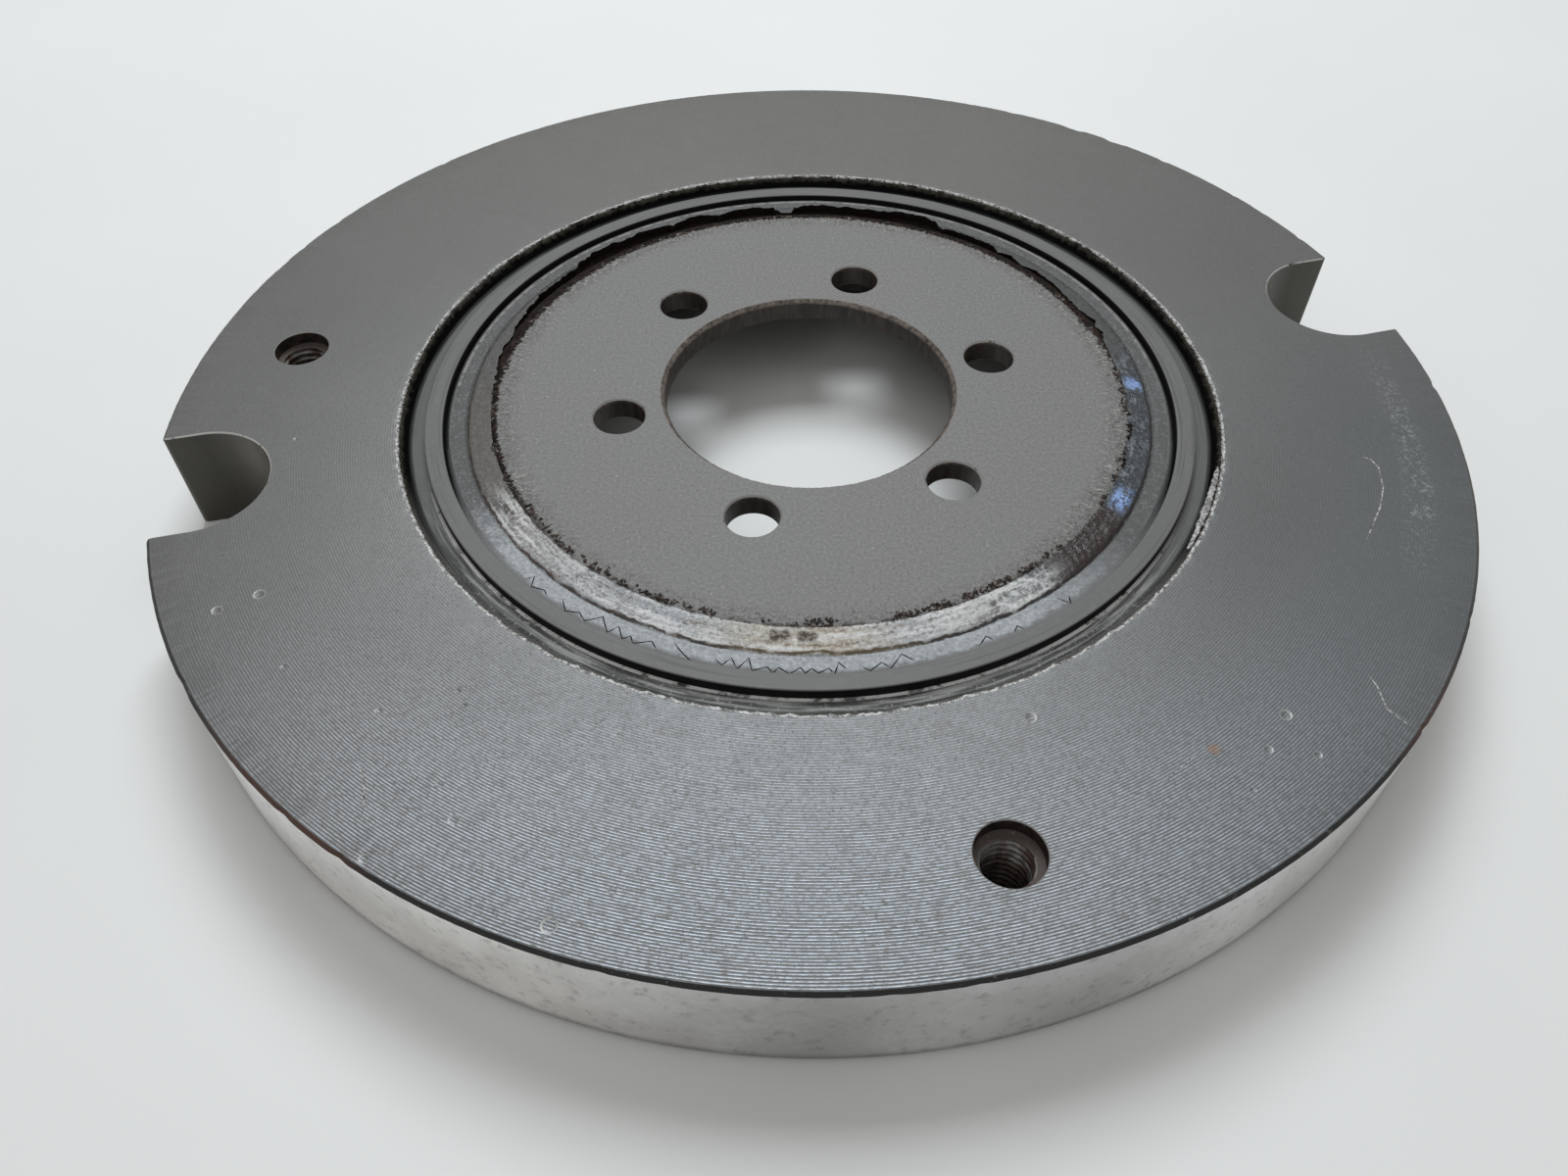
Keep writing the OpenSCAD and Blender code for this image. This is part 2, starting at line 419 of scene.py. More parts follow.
def notch_iron():
    """The milled walls of the notches, with faint upright cutter lines."""
    look = Look("notch_iron", rough=0.4, metal=0.5)
    lines = look.noise(1.0, 2, at=look.vector("MULTIPLY", look.place, (2.5, 2.5, 0.12)))
    look.colour = look.mix(look.noise(0.15, 3), (0.044, 0.041, 0.032), (0.075, 0.07, 0.056))
    look.over(lines, 0.3, grey(0.11, 0.05))
    wear_and_sheen = look.both(look.outward(97.0, 89.0), look.step(look.noise(0.12, 3), 0.3, 0.6, 0.5, 1.0))
    look.over(wear_and_sheen, 0.75, (0.20, 0.185, 0.155))
    return look.finish(relief=look.times(lines, 0.02))


def thread_iron():
    """Oily thread turns, grey with rusty brown patches, and darker brown towards the bottom."""
    look = Look("thread_iron", rough=0.38, metal=0.5)
    stain = look.patches(0.40, 0.60, 0.35, 4)
    look.colour = look.mix(stain, grey(0.24, 0.03), (0.08, 0.045, 0.032))
    # darker brown towards the bottom of the hole
    look.over(look.step(look.height, 14.0, 7.0), 0.8, (0.03, 0.018, 0.014))
    return look.finish(relief=look.times(look.noise(2.0, 3), 0.03))


def mouth_iron():
    """The counterbores over the threads: near black, with brown rust and a few pale crumbs."""
    look = Look("mouth_iron", rough=0.6, metal=0.1, specular=0.25)
    look.colour = look.mix(look.patches(0.35, 0.65, 0.6, 4, 0.7), grey(0.012), (0.05, 0.032, 0.026))
    floor = RING_H - TAP_MOUTH_DEPTH
    ledge = look.both(look.step(look.height, floor + 0.1, floor - 0.05), 0.8)
    look.cover(ledge, (0.085, 0.068, 0.058))
    bits = look.patches(0.60, 0.7, 1.6, 4, 0.8)
    look.over(bits, 0.5, grey(0.3, 0.05))
    return look.finish()


def sleeve_paint():
    """Smooth dark grey paint on the sleeve's edge, and its two walls painted near black."""
    look = Look("sleeve_paint", specular=0.3)
    top = look.step(look.height, SLEEVE_TOP - 0.26, SLEEVE_TOP - 0.16)
    look.colour = look.mix(look.noise(0.08, 3), grey(0.108, 0.01), grey(0.13, 0.03))
    look.over(look.patches(0.5, 0.75, 0.9, 4), 0.3, grey(0.17, 0.05))
    rub = look.step(look.streaks(1.6, 2.2, 4.0), 0.52, 0.66)
    look.over(rub, 0.55, grey(0.06, 0.03))
    # the walls below the edge painted near black
    look.colour = look.mix(top, grey(0.002), look.colour)
    return look.finish(look.blend(top, 0.8, 0.5), look.times(look.noise(0.8, 3), 0.03))


def black_rubber():
    """Bare black rubber, torn and rough."""
    look = Look("black_rubber", rough=0.8, specular=0.12)
    torn = look.noise(1.4, 5, 0.7)
    look.colour = look.mix(torn, (0.003, 0.0025, 0.002), (0.026, 0.017, 0.014))
    return look.finish(relief=look.times(torn, 0.35))


def torn_crumbs():
    """Crumbs of torn rubber, black to brown, with some grey film left on them."""
    look = Look("torn_crumbs", rough=0.75, specular=0.2)
    look.colour = look.mix(look.patches(0.38, 0.6, 0.9, 4, 0.7), grey(0.006), (0.055, 0.037, 0.03))
    film = look.patches(0.53, 0.62, 1.3, 4, 0.8)
    look.cover(film, grey(0.23, 0.04))
    return look.finish()


def film_flat(look, fine):
    """Colour of the film's flat band: pale and grainy in front and dull elsewhere, with a ragged outer
    border and a painted highlight along its outer edge round the far side.
    """
    dull, pale = grey(0.06, 0.02), grey(0.31, -0.05)
    look.colour = look.round_ramp([(-180, dull), (-152, dull), (-138, pale), (-58, pale),
                                   (-36, dull), (180, dull)], ragged=14.0)
    near = look.sector(-145, -48, 10)
    look.over(look.step(fine, 0.51, 0.60), look.blend(near, 0.15, 0.6), grey(0.48, -0.03))
    look.over(look.step(fine, 0.46, 0.36), look.blend(near, 0.25, 0.6), grey(0.13))
    border = look.frayed(2.2, 0.5, 4, 0.7)
    look.over(look.step(border, 60.1, 60.9), 0.85, grey(0.115, 0.02))
    # painted highlight: a pale line along the film's outer edge round the far side
    ridge_highlight = look.both(look.hoop(RUBBER_R - 1.5, RUBBER_R - 1.05, 0.12), look.sector(6, 200, 9))
    ridge_highlight = look.both(ridge_highlight, look.patches(0.34, 0.56, 0.7, 4))
    look.over(ridge_highlight, 0.6, grey(0.30, 0.06))
    return look.colour


def film_flash(look, fine, coarse, layers):
    """Colour of the film where it laps the hub: pale in front, partly the flash's own chalk-white and
    partly painted reflection of the lamp, rusty then oily at the right, with painted blue sky reflections
    there.
    """
    rust, oil = (0.018, 0.009, 0.008), grey(0.04, -0.2)
    blue, brown = (0.24, 0.36, 0.66), (0.17, 0.115, 0.08)
    # the pale front stops are partly the flash's own colour and partly painted reflection of the lamp
    look.colour = look.round_ramp([
        (-180, grey(0.075, 0.12)), (-152, grey(0.10, 0.1)), (-146, grey(0.04, 0.08)),
        (-142, grey(0.26, 0.03)), (-108, grey(0.34, -0.06)), (-96, (0.38, 0.34, 0.28)),
        (-84, (0.40, 0.35, 0.29)), (-74, grey(0.36, -0.03)),
        (-65, grey(0.40, 0.02)), (-62, grey(0.05, 0.1)), (-58, grey(0.32, -0.04)), (-52, grey(0.10, -0.05)),
        (-47, rust), (-32, rust), (-30, oil), (0, oil), (8, oil), (14, grey(0.05)),
        (180, grey(0.075, 0.05))], ragged=14.0)
    # front sector where the whitish flash is partly painted reflection of the lamp
    chalk_and_glare = look.sector(-150, -50, 5)
    look.over(look.step(layers, 0.44, 0.62), look.both(chalk_and_glare, 0.85), grey(0.62, 0.01))
    look.over(look.step(layers, 0.42, 0.30), look.both(chalk_and_glare, 0.75), brown)
    thread = look.both(look.step(look.streaks(3.2, 14.0, 4.0), 0.40, 0.33), chalk_and_glare)
    look.over(thread, 0.7, (0.055, 0.035, 0.028))
    lumps = look.both(look.step(coarse, 0.52, 0.62), look.sector(-30, 12, 4))
    look.over(lumps, look.blend(fine, 0.0, 0.8), grey(0.20, -0.1))
    glare = look.math("MAXIMUM", look.sector(-30.5, -26.0, 1.6), look.sector(0.5, 3.5, 1.2))
    glare = look.both(glare, look.patches(0.40, 0.56, 1.1, 4, 0.7))
    look.over(glare, look.hoop(53.2, 55.8, 0.6), blue)
    white = look.both(look.sector(-62, -49, 3), look.patches(0.50, 0.58, 0.8, 4, 0.8))
    look.over(white, 0.8, grey(0.55))
    grain = look.blend(chalk_and_glare, 0.05, 0.5)
    look.over(look.step(fine, 0.52, 0.62), grain, grey(0.70))
    look.over(look.step(fine, 0.46, 0.36), 0.6, (0.07, 0.055, 0.05))
    return look.colour


def rubber_film():
    """The grey film over the rubber, with a stained crease, a dirty torn edge, and painted shade along its
    outer edge by the sleeve, except in front.
    """
    look = Look("rubber_film")
    fine, coarse = look.noise(1.8, 5, 0.7), look.noise(0.45, 4, 0.6)
    layers = look.streaks(1.5, 5.0, 5.0)
    flat, flash = film_flat(look, fine), film_flash(look, fine, coarse, layers)
    wander = look.plus(look.radius, look.times(look.minus(coarse, 0.5), 1.1))
    look.colour = look.mix(look.step(wander, CREASE_R - 0.35, CREASE_R + 0.15), flash, flat)
    crease = look.round_ramp([
        (-180, grey(0.02, 0.1)), (-140, (0.05, 0.032, 0.026)), (-104, (0.035, 0.024, 0.018)),
        (-97, (0.11, 0.075, 0.03)), (-78, (0.10, 0.068, 0.03)), (-70, (0.025, 0.017, 0.014)),
        (-30, (0.02, 0.015, 0.015)), (180, grey(0.02))], ragged=8.0)
    hair = look.plus(wander, look.times(look.streaks(0.8, 8.0, 4.0), 1.2))
    line = look.band(hair, CREASE_R + 0.2, CREASE_R + 0.58, 0.13)
    line = look.both(line, look.step(coarse, 0.34, 0.50, 0.25, 1.0))
    look.over(line, 0.95, crease)
    for angle in (-94.4, -93.0, -90.3, -89.0):
        stain = look.both(look.spot(angle, 54.0, 1.15), look.step(fine, 0.38, 0.52, 0.2, 1.0))
        look.cover(stain, (0.045, 0.028, 0.016))
    sooty = look.frayed(2.4, 1.3, 5, 0.8)
    sooty = look.step(sooty, FLASH_R + 1.6, FLASH_R + 0.9)
    sooty = look.both(sooty, look.patches(0.44, 0.54, 0.35, 3, 0.7))
    look.over(sooty, 0.9, (0.028, 0.019, 0.016))
    # painted shade: the film's outer edge beside the sleeve blackened, except in front
    gap = look.outward(RUBBER_R - 1.1, RUBBER_R - 0.7)
    near = look.sector(-148, -34, 12)
    look.over(gap, look.minus(1.0, near), grey(0.004))
    slick = look.both(look.sector(-46, 8, 5), look.outward(CREASE_R, CREASE_R - 0.6))
    rough = look.blend(slick, look.blend(coarse, 0.5, 0.66), 0.16)
    relief = look.plus(look.times(fine, 0.12), look.times(layers, 0.16))
    return look.finish(rough, relief)


def speckled_grey(look, cloud, grain):
    """Lays the hub's matt paint, with fine grain, pale specks and a few rust spots."""
    look.colour = look.mix(cloud, grey(0.128, 0.02), grey(0.155, 0.045))
    look.over(look.step(grain, 0.51, 0.60), 0.55, grey(0.22, 0.04))
    look.over(look.step(grain, 0.47, 0.38), 0.55, grey(0.07))
    speck = look.patches(0.70, 0.76, 1.0, 2, 0.9)
    look.over(speck, 0.6, grey(0.42, 0.05))
    rust = look.both(look.patches(0.70, 0.76, 0.6, 3, 0.8), look.patches(0.5, 0.6, 0.04, 2))
    look.over(rust, 0.5, (0.22, 0.12, 0.07))


def hub_paint():
    """Matt grey paint on the pressed cup, with dust and soot at its outer edge, and black there away from
    the front: torn rubber film, and painted shade where the bend faces away from the lamp.
    """
    look = Look("hub_paint", metal=0.1)
    cloud, grain = look.noise(0.05, 4), look.noise(2.0, 5, 0.8)
    speckled_grey(look, cloud, grain)
    near = look.sector(-140, -48, 12)
    front = look.step(look.height, RING_H - HUB_T + 0.3, RING_H - HUB_T + 0.8)
    edge = look.step(look.frayed(3.0, 0.3, 3), 48.5, 53.0)
    edge = look.both(edge, front)
    hairs = look.rays(1.7, 0.5, 4.0)
    fuzz = look.both(edge, look.step(look.plus(hairs, look.noise(1.5, 4, 0.85)), 0.98, 1.12))
    fuzz = look.both(fuzz, look.blend(near, 0.7, 0.2))
    look.cover(fuzz, grey(0.30, 0.06))
    soot = look.both(look.step(edge, 0.5, 1.0), look.patches(0.50, 0.38, 1.0, 5, 0.85))
    look.over(soot, 0.7, grey(0.035, 0.1))
    clump = look.minus(look.radius, look.times(look.noise(1.3, 5, 0.8), 2.4))
    clump = look.step(clump, FLASH_R - 2.0, FLASH_R - 1.4)
    clump = look.both(clump, look.patches(0.44, 0.54, 0.35, 3, 0.7))
    look.over(clump, look.both(near, front), (0.03, 0.02, 0.017))
    lip = look.both(look.outward(BORE_R + 1.1, BORE_R + 0.5), look.patches(0.35, 0.6, 0.5, 4))
    look.over(lip, 0.8, (0.17, 0.13, 0.105))
    # black over the bend away from the front: torn rubber film, and painted shade where the bend faces away
    # from the lamp
    torn = look.minus(look.plus(look.noise(0.8, 5, 0.8), hairs), 0.4)
    torn = look.plus(look.radius, look.times(torn, 2.2))
    torn = look.minus(torn, look.both(look.sector(-50, 16, 6), 0.9))
    black = look.step(torn, FLASH_R + 0.2, FLASH_R + 0.6)
    black = look.both(black, look.minus(1.0, look.both(near, look.outward(53.4, 52.8))))
    black = look.both(black, front)
    torn_rubber_and_shade = look.mix(look.patches(0.45, 0.62, 1.1, 4, 0.7), (0.006, 0.004, 0.0035),
                           (0.04, 0.024, 0.018))
    look.cover(black, torn_rubber_and_shade)
    look.put(look.shader.inputs["Specular IOR Level"], look.blend(black, 0.5, 0.08))
    relief = look.plus(look.times(grain, 0.07), look.times(fuzz, 0.12))
    return look.finish(look.blend(cloud, 0.48, 0.6), relief)


def bore_wall():
    """The sheared walls of the hub's bore and bolt holes: dark brown-grey, faintly scored through."""
    look = Look("bore_wall", rough=0.5, metal=0.2)
    score = look.noise(1.0, 3, at=look.vector("MULTIPLY", look.place, (1.1, 1.1, 0.25)))
    look.colour = look.mix(look.step(score, 0.35, 0.65), (0.035, 0.028, 0.024), (0.065, 0.053, 0.046))
    wear_and_sheen = look.step(look.height, RING_H - 0.9, RING_H - 0.3)
    wear_and_sheen = look.both(wear_and_sheen, look.patches(0.38, 0.6, 0.9, 5, 0.8))
    look.over(wear_and_sheen, 0.8, (0.24, 0.20, 0.17))
    return look.finish(relief=look.times(score, 0.05))


IRON, RIM, OXIDE, BARE = turned_iron(), rim_iron(), edge_oxide(), bare_edge()
LIP, NOTCH_LIP = worn_lip("hole_lip", 0.27), worn_lip("notch_lip", 0.5)
RECESS, NOTCH, THREAD, MOUTH = recess_iron(), notch_iron(), thread_iron(), mouth_iron()
SLEEVE, RUBBER, CRUMBS, FILM = sleeve_paint(), black_rubber(), torn_crumbs(), rubber_film()
HUB, BORE = hub_paint(), bore_wall()

# ---------------------------------------------------------------- mesh building


def solid(name, points, faces, materials, slots=None):
    """A mesh object from points in millimetres; slots gives each face's place in materials."""
    mesh = bpy.data.meshes.new(name)
    mesh.from_pydata((np.asarray(points, float) * MM).tolist(), [], [list(map(int, f)) for f in faces])
    for material in materials:
        mesh.materials.append(material)
    if slots is not None:
        mesh.polygons.foreach_set("material_index", np.asarray(slots, np.int32))
    mesh.update()
    piece = bpy.data.objects.new(name, mesh)
    bpy.context.scene.collection.objects.link(piece)
    return piece


def turns(steps):
    return np.arange(steps)[:, None] * (math.tau / steps)


def swept(section, steps):
    """The directions, and the section's radius and height repeated at each of them."""
    turn = turns(steps)
    radius, height = (np.repeat(section[None, :, k], steps, 0) for k in (0, 1))
    return turn, radius, height


def revolve(name, radius, height, materials):
    """A closed ring from its half sections: radius and height hold one row for each direction."""
    steps, n = radius.shape
    turn = turns(steps)
    points = np.stack([radius * np.cos(turn), radius * np.sin(turn), height], -1).reshape(-1, 3)
    here, along = np.arange(steps)[:, None] * n, np.arange(n)[None, :]
    ahead, beside = np.roll(here, -1, 0), np.roll(along, -1, 1)
    faces = np.stack([here + along, ahead + along, ahead + beside, here + beside], -1).reshape(-1, 4)
    return solid(name, points, faces, materials)


def rounded(corners, steps=4):
    """The points of a closed half section, each corner (radius, height, fillet) turned into an arc."""
    points = []
    for i, (r, z, fillet) in enumerate(corners):
        corner = np.array((r, z))
        if not fillet:
            points.append(corner)
            continue
        back = np.array(corners[i - 1][:2]) - corner
        on = np.array(corners[(i + 1) % len(corners)][:2]) - corner
        back, on = back / np.linalg.norm(back), on / np.linalg.norm(on)
        half = math.acos(np.clip(back @ on, -1, 1)) / 2
        centre = corner + (back + on) / np.linalg.norm(back + on) * fillet / math.sin(half)
        ends = [corner + side * fillet / math.tan(half) - centre for side in (back, on)]
        first, last = (math.atan2(e[1], e[0]) for e in ends)
        sweep = (last - first + math.pi) % math.tau - math.pi
        for k in range(steps + 1):
            at = first + sweep * k / steps
            points.append(centre + fillet * np.array((math.cos(at), math.sin(at))))
    return points


def spaced(points, gap):
    """The same closed section with points no further apart than gap."""
    out = []
    for a, b in zip(points, points[1:] + points[:1]):
        count = max(1, math.ceil(np.linalg.norm(b - a) / gap))
        out += [a + (b - a) * k / count for k in range(count)]
    return np.array(out)


def ragged(turn, count, draw, power=1.0):
    """Uneven values in 0..1 round the axis, from count random knots."""
    knots = draw.random(count) ** power
    return np.interp(turn, np.linspace(0, math.tau, count + 1), np.append(knots, knots[0]))


def uneven(share, count, draw):
    """Uneven values in 0..1 along a line, from random knots; share runs from 0 to 1."""
    return np.interp(share * count, np.arange(count + 1), draw.random(count + 1))


def patchy(turn, radius, count, rows, span, draw):
    """Uneven values in -1..1 over a band, from count knots round the axis and rows across span."""
    grid = draw.uniform(-1, 1, (rows, count))
    across = np.clip((radius - span[0]) / (span[1] - span[0]), 0, 1) * (rows - 1)
    total = np.zeros_like(radius)
    for row in range(rows):
        share = np.clip(1 - np.abs(across - row), 0, 1)
        knots = np.append(grid[row], grid[row][0])
        total += share * np.interp(turn, np.linspace(0, math.tau, count + 1), knots)
    return total


def loft(name, levels, materials, slots):
    """A cutting tool from outlines of equal length, [(height, outline)] upwards, one slot to each band."""
    n = len(levels[0][1])
    points = [(x, y, z) for z, outline in levels for x, y in outline]
    faces, kinds = [range(n - 1, -1, -1), range(len(points) - n, len(points))], [slots[0], slots[-1]]
    for level, kind in enumerate(slots):
        for i in range(n):
            a, b = level * n + i, level * n + (i + 1) % n
            faces.append((a, b, b + n, a + n))
            kinds.append(kind)
    return solid(name, points, faces, materials, kinds)


def circle(x, y, radius, steps=64):
    return [(x + radius * math.cos(math.tau * k / steps), y + radius * math.sin(math.tau * k / steps))
            for k in range(steps)]


def hole_tool(x, y, radius, rear, front, lip, wall, steps=64):
    """Drills a hole whose two edges are broken by lip."""
    run = UNDER + lip
    levels = [(rear - UNDER, radius + run), (rear + lip, radius), (front - lip, radius),
              (front + UNDER, radius + run)]
    return loft("tool", [(z, circle(x, y, r, steps)) for z, r in levels], [wall, LIP], [1, 0, 1])


def notch_outline(grow, corner=1.0):
    """The U of a notch that opens along +X, widened by grow, with rounded corners at the rim."""
    half = NOTCH_R + grow
    bow = [(NOTCH_CENTRE_R + half * math.cos(a), half * math.sin(a))
           for a in np.linspace(math.pi / 2, 3 * math.pi / 2, 49)]
    mouth = math.sqrt(RING_R ** 2 - half ** 2) - corner
    flare = [(mouth + corner * math.sin(a), half + corner * (1 - math.cos(a)))
             for a in np.linspace(0, math.radians(80), 7)]
    flare.append((RING_R + 2 * corner, half + 4 * corner))
    return [(x, y) for x, y in reversed(flare)] + bow + [(x, -y) for x, y in flare]


def notch_tool(angle, lip=0.22):
    c, s = polar(1.0, angle)
    levels = [(-UNDER, UNDER + lip), (lip, 0.0), (RING_H - lip, 0.0), (RING_H + UNDER, UNDER + lip)]
    turned = [(z, [(x * c - y * s, x * s + y * c) for x, y in notch_outline(grow)]) for z, grow in levels]
    return loft("tool", turned, [NOTCH, NOTCH_LIP], [1, 0, 1])


def thread_tool(x, y, minor, rows_per_turn=14, steps=48):
    """A right-hand thread's air: a rod whose radius follows the thread's sixty-degree form."""
    top = RING_H - TAP_MOUTH_DEPTH + 0.3
    turn = np.arange(steps) * (math.tau / steps)
    levels = []
    for z in np.arange(-UNDER, top, THREAD_PITCH / rows_per_turn):
        share = (z / THREAD_PITCH - turn / math.tau) % 1.0
        form = np.clip((0.5 - np.abs(share - 0.5)) * 2.9 - 0.35, 0, 1)
        radius = minor + (THREAD_MAJOR_R - minor) * form
        levels.append((z, list(zip(x + radius * np.cos(turn), y + radius * np.sin(turn)))))
    return loft("tool", levels, [THREAD], [0] * (len(levels) - 1))


def tap_tools(mount):
    """The tools for one tapped hole: thread, counterbore with a cone under it, and rear countersink."""
    x, y = (v / MM for v in mount["pos_m"][:2])
    floor = RING_H - TAP_MOUTH_DEPTH
    mouth = [(floor - 0.3, THREAD_MAJOR_R - 0.3), (floor, TAP_MOUTH_R), (RING_H - 0.15, TAP_MOUTH_R),
             (RING_H + UNDER, TAP_MOUTH_R + 0.15 + UNDER)]
    rear = [(-UNDER, THREAD_MAJOR_R + 0.4 + UNDER), (0.9, THREAD_MAJOR_R - 0.5)]
    return [thread_tool(x, y, mount["dims"]["r_mm"]),
            loft("tool", [(z, circle(x, y, r)) for z, r in mouth], [MOUTH, LIP], [0, 0, 1]),
            loft("tool", [(z, circle(x, y, r)) for z, r in rear], [THREAD], [0])]


def groove_tool(path, face, width, depth, material, over=0.05):
    """A V-shaped groove along path, [(radius, degrees)], cut down from a face at that height."""
    line = np.array([polar(r, a) for r, a in path])
    way = np.gradient(line, axis=0)
    way /= np.linalg.norm(way, axis=1)[:, None]
    side = np.stack([-way[:, 1], way[:, 0]], 1)
    taper = np.ones(len(line))
    taper[0] = taper[-1] = 0.25
    half = side * (width / 2 * (1 + over / depth) * taper)[:, None]
    points = [(*p, face + over) for p in line + half] + [(*p, face + over) for p in line - half]
    points += [(*p, face - depth * t) for p, t in zip(line, taper)]
    n = len(line)
    faces = [(0, n, 2 * n), (n - 1, 3 * n - 1, 2 * n - 1)]
    for i in range(n - 1):
        faces += [(i, i + 1, n + i + 1, n + i), (i, 2 * n + i, 2 * n + i + 1, i + 1),
                  (n + i, n + i + 1, 2 * n + i + 1, 2 * n + i)]
    flipped = [tuple(reversed(f)) for f in faces]
    return solid("tool", points, flipped, [material])


def dent_tool(angle, radius, size, depth=0.12):
    """A shallow round dent: the cap of a ball, turned from a half circle."""
    ball = (size ** 2 / 4 + depth ** 2) / (2 * depth)
    x, y = polar(radius, angle)
    levels = [(RING_H - depth + ball * (1 - math.cos(t)), max(ball * math.sin(t), 0.02))
              for t in np.linspace(0.0, 2.2 * math.asin(min(1.0, size / 2 / ball)), 7)]
    return loft("tool", [(z, circle(x, y, r, 14)) for z, r in levels], [IRON, LIP], [0, 0, 1, 1, 1, 1])


def cut(piece, tools):
    """Takes every tool out of piece, one after another, and removes the tools."""
    for tool in tools:
        step = piece.modifiers.new("cut", "BOOLEAN")
        step.object, step.operation, step.solver = tool, "DIFFERENCE", "MANIFOLD"
        step.material_mode = "TRANSFER"
    graph = bpy.context.evaluated_depsgraph_get()
    made = bpy.data.meshes.new_from_object(piece.evaluated_get(graph))
    piece.modifiers.clear()
    piece.data = made
    for tool in tools:
        bpy.data.objects.remove(tool)


def paint(piece, tests):
    """Gives faces a material by place: each test takes (radius, height, upward normal) arrays."""
    mesh = piece.data
    count = len(mesh.polygons)
    centre, normal, kinds = np.empty(count * 3), np.empty(count * 3), np.empty(count, np.int32)
    mesh.polygons.foreach_get("center", centre)
    mesh.polygons.foreach_get("normal", normal)
    mesh.polygons.foreach_get("material_index", kinds)
    centre, rise = centre.reshape(-1, 3) / MM, normal.reshape(-1, 3)[:, 2]
    radius = np.hypot(centre[:, 0], centre[:, 1])
    plain = kinds == 0
    for material, test in tests:
        mesh.materials.append(material)
        kinds[plain & test(radius, centre[:, 2], rise)] = len(mesh.materials) - 1
    mesh.polygons.foreach_set("material_index", kinds)


def settle(piece, body, nodes=(), sharp=32.0):
    """Shades a finished piece and ties it to its CAD body and nodes."""
    mesh = piece.data
    normal = np.empty(len(mesh.polygons) * 3)
    mesh.polygons.foreach_get("normal", normal)
    mesh.set_sharp_from_angle(angle=math.radians(sharp))
    mesh.polygons.foreach_set("use_smooth", np.abs(normal.reshape(-1, 3)[:, 2]) < 0.99999)
    mesh.update()
    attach(piece, body)
    if nodes:
        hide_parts(*nodes)
    return piece


# ---------------------------------------------------------------- inertia ring

# Dents on the front face: direction, distance from the axis, and width
DENTS = [(-116.8, 94.0, 1.6), (-98.0, 90.1, 1.3), (-106.4, 101.5, 2.2), (-66.3, 73.3, 1.8),
         (-103.3, 95.5, 1.2), (-46.5, 91.1, 1.8), (-50.4, 92.8, 1.4), (-54.3, 95.6, 1.0),
         (-148.2, 91.3, 1.9), (-148.2, 97.2, 1.7), (-129.3, 87.7, 1.3), (-139.1, 92.9, 1.1),
         (-119.8, 90.9, 1.2), (-120.2, 103.4, 1.4), (-169.6, 83.5, 0.9), (-123.7, 80.3, 0.8),
         (-125.4, 79.1, 0.9), (-47.9, 97.3, 1.2)]
# Scratches on the front face, as [(distance from the axis, direction)]
SCRATCHES = [[(88.0, -10.1), (90.0, -10.6), (91.0, -11.6), (91.4, -14.5), (90.9, -17.3),
              (89.8, -20.8), (89.2, -23.2)],
             [(96.0, -38.2), (97.5, -38.8), (100.0, -40.4), (102.5, -40.7), (104.0, -40.6)],
             [(87.9, -55.3), (88.3, -57.5), (89.1, -60.6)],
             [(94.2, -127.0), (95.5, -125.1), (98.0, -123.4), (100.6, -122.2)]]


